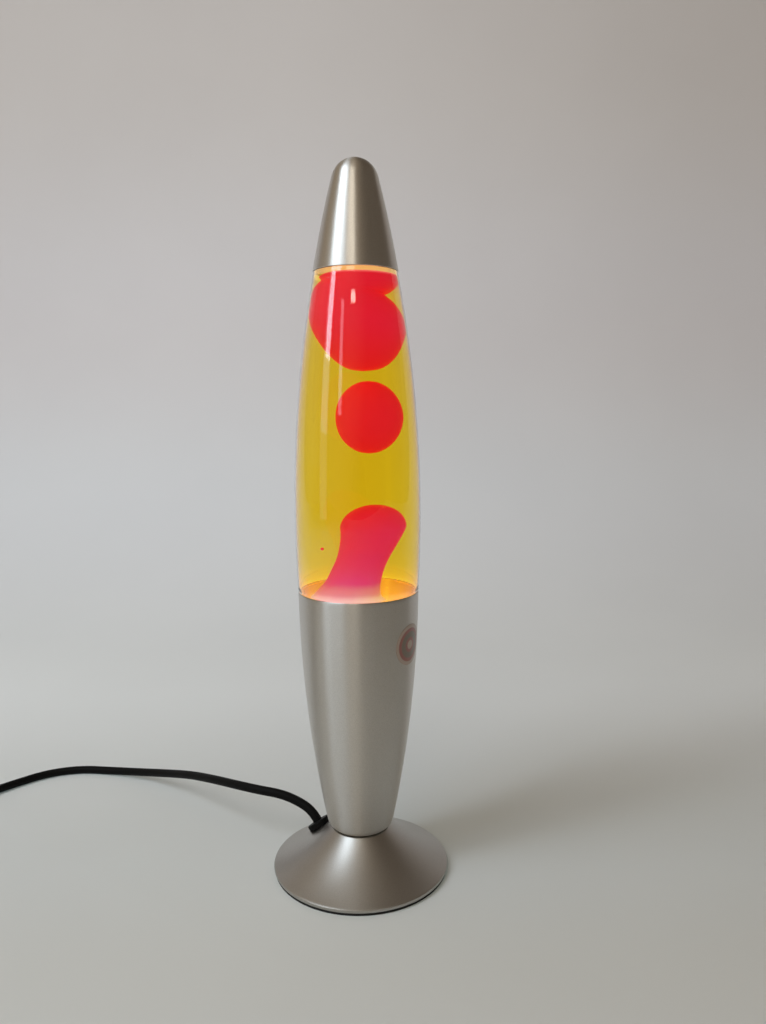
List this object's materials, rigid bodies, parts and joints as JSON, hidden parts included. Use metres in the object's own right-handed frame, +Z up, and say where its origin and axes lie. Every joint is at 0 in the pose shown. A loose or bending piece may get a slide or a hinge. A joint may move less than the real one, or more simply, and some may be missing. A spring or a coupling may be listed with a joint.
{
  "type": "lava lamp",
  "caption": "Lava lamp: spun metal cone on a flared foot with reflector bulb, tapered glass bottle of wax in yellow liquid, metal cap and corded rocker switch.",
  "frame": {"origin": "centre of the circle on which the foot rests", "axes": "+Z up along the lamp's axis; -Y is the front, from which the cord leaves at the back left"},
  "size_m": [0.4865, 0.1744, 0.4],
  "materials": {
    "spun_metal": "satin silver lacquer over spun metal",
    "pad_foam": "black closed-cell foam",
    "sticker_film": "clear film with a plain red ring",
    "zinc_steel": "zinc plated",
    "cover_steel": "black lacquer",
    "ballast_iron": "raw",
    "holder_plastic": "black moulded resin",
    "holder_insert": "unglazed",
    "contact_brass": "plain",
    "holder_shell": "plain",
    "lead_brown": "brown insulation",
    "lead_blue": "blue insulation",
    "bulb_solder": "solder",
    "bulb_vitrite": "black glass",
    "bulb_cap_metal": "rolled thread",
    "bulb_glass": "frosted front",
    "bulb_mirror": "aluminised",
    "bulb_inner_glass": "clear",
    "bulb_wire": "drawn wire",
    "bottle_glass": "clear",
    "crown_metal": "bright tinplate",
    "liner": "soft white",
    "coil_steel": "stainless wire",
    "wax": "smooth molten wax",
    "yellow_liquid": "clear yellow",
    "cord_black": "satin jacket",
    "relief_black": "moulded nylon",
    "tie_fabric": "hook and loop",
    "switch_black": "fine texture",
    "rocker_black": "gloss",
    "plug_black": "moulded",
    "pin_nickel": "nickel plated"
  },
  "bodies": {
    "base": {"base_cone": "spun_metal", "foot_flare": "spun_metal", "foot_pad_ring": "pad_foam", "round_sticker": "sticker_film", "threaded_tube": "zinc_steel", "cover_nut": "zinc_steel", "ballast_nut": "zinc_steel", "foot_nut": "zinc_steel", "cone_nut": "zinc_steel", "foot_washer": "zinc_steel", "terminal_screws": "zinc_steel", "switch_screws": "zinc_steel", "switch_rocker_pin": "zinc_steel", "base_cover": "cover_steel", "ballast_disc": "ballast_iron", "lampholder_base": "holder_plastic", "lampholder_sleeve": "holder_plastic", "lampholder_insert": "holder_insert", "lampholder_contact": "contact_brass", "switch_terminals": "contact_brass", "switch_contact": "contact_brass", "lampholder_shell": "holder_shell", "lead_live": "lead_brown", "lead_neutral": "lead_blue", "cord_sheath_end": "cord_black", "cord_lamp_side": "cord_black", "cord_coil_side": "cord_black", "cord_coil": "cord_black", "cord_tail": "cord_black", "strain_relief": "relief_black", "cord_tie": "tie_fabric", "switch_shell_bottom": "switch_black", "switch_shell_top": "switch_black", "plug_body": "plug_black", "plug_pin_sleeves": "plug_black", "plug_pins": "pin_nickel"},
    "bottle": {"glass_bottle": "bottle_glass", "crown_cap": "crown_metal", "crown_liner": "liner", "bottle_coil": "coil_steel", "wax_column": "wax", "wax_top": "wax", "wax_droplet": "wax", "liquid": "yellow_liquid"},
    "wax_bead": {"wax_bead": "wax"},
    "cap": {"top_cap": "spun_metal"},
    "bulb_thread": {"bulb_tip_contact": "bulb_solder"},
    "bulb": {"bulb_insulator": "bulb_vitrite", "bulb_screw_base": "bulb_cap_metal", "bulb_glass": "bulb_glass", "bulb_reflector": "bulb_mirror", "bulb_stem": "bulb_inner_glass", "bulb_supports": "bulb_wire", "bulb_filament": "bulb_wire"},
    "rocker": {"switch_rocker": "rocker_black"}
  },
  "joints": [
    {"name": "bottle_lift", "type": "slide", "parent": "base", "child": "bottle", "axis": [0, 0, 1], "range_m": [0, 0.06]},
    {"name": "cap_lift", "type": "slide", "parent": "bottle", "child": "cap", "axis": [0, 0, 1], "range_m": [0, 0.045]},
    {"name": "wax_drift", "type": "slide", "parent": "bottle", "child": "wax_bead", "axis": [0, 0, 1], "range_m": [-0.026, 0.005], "deforming": ["liquid"]},
    {"name": "bulb_rise", "type": "slide", "parent": "base", "child": "bulb_thread", "axis": [0, 0, 1], "range_m": [0, 0.0086]},
    {"name": "bulb_unscrew", "type": "hinge", "parent": "bulb_thread", "child": "bulb", "pos_m": [0, 0, 0.041], "axis": [0, 0, 1], "range_deg": [0, 1080]},
    {"name": "rocker_tilt", "type": "hinge", "parent": "base", "child": "rocker", "pos_m": [-0.30447, 0.03314, 0.0142], "axis": [0.7709, -0.6369, 0], "range_deg": [0, 14]}
  ],
  "couplings": [
    {"joint": "bulb_rise", "follows": "bulb_unscrew", "m_per_rad": 0.00044914}
  ]
}
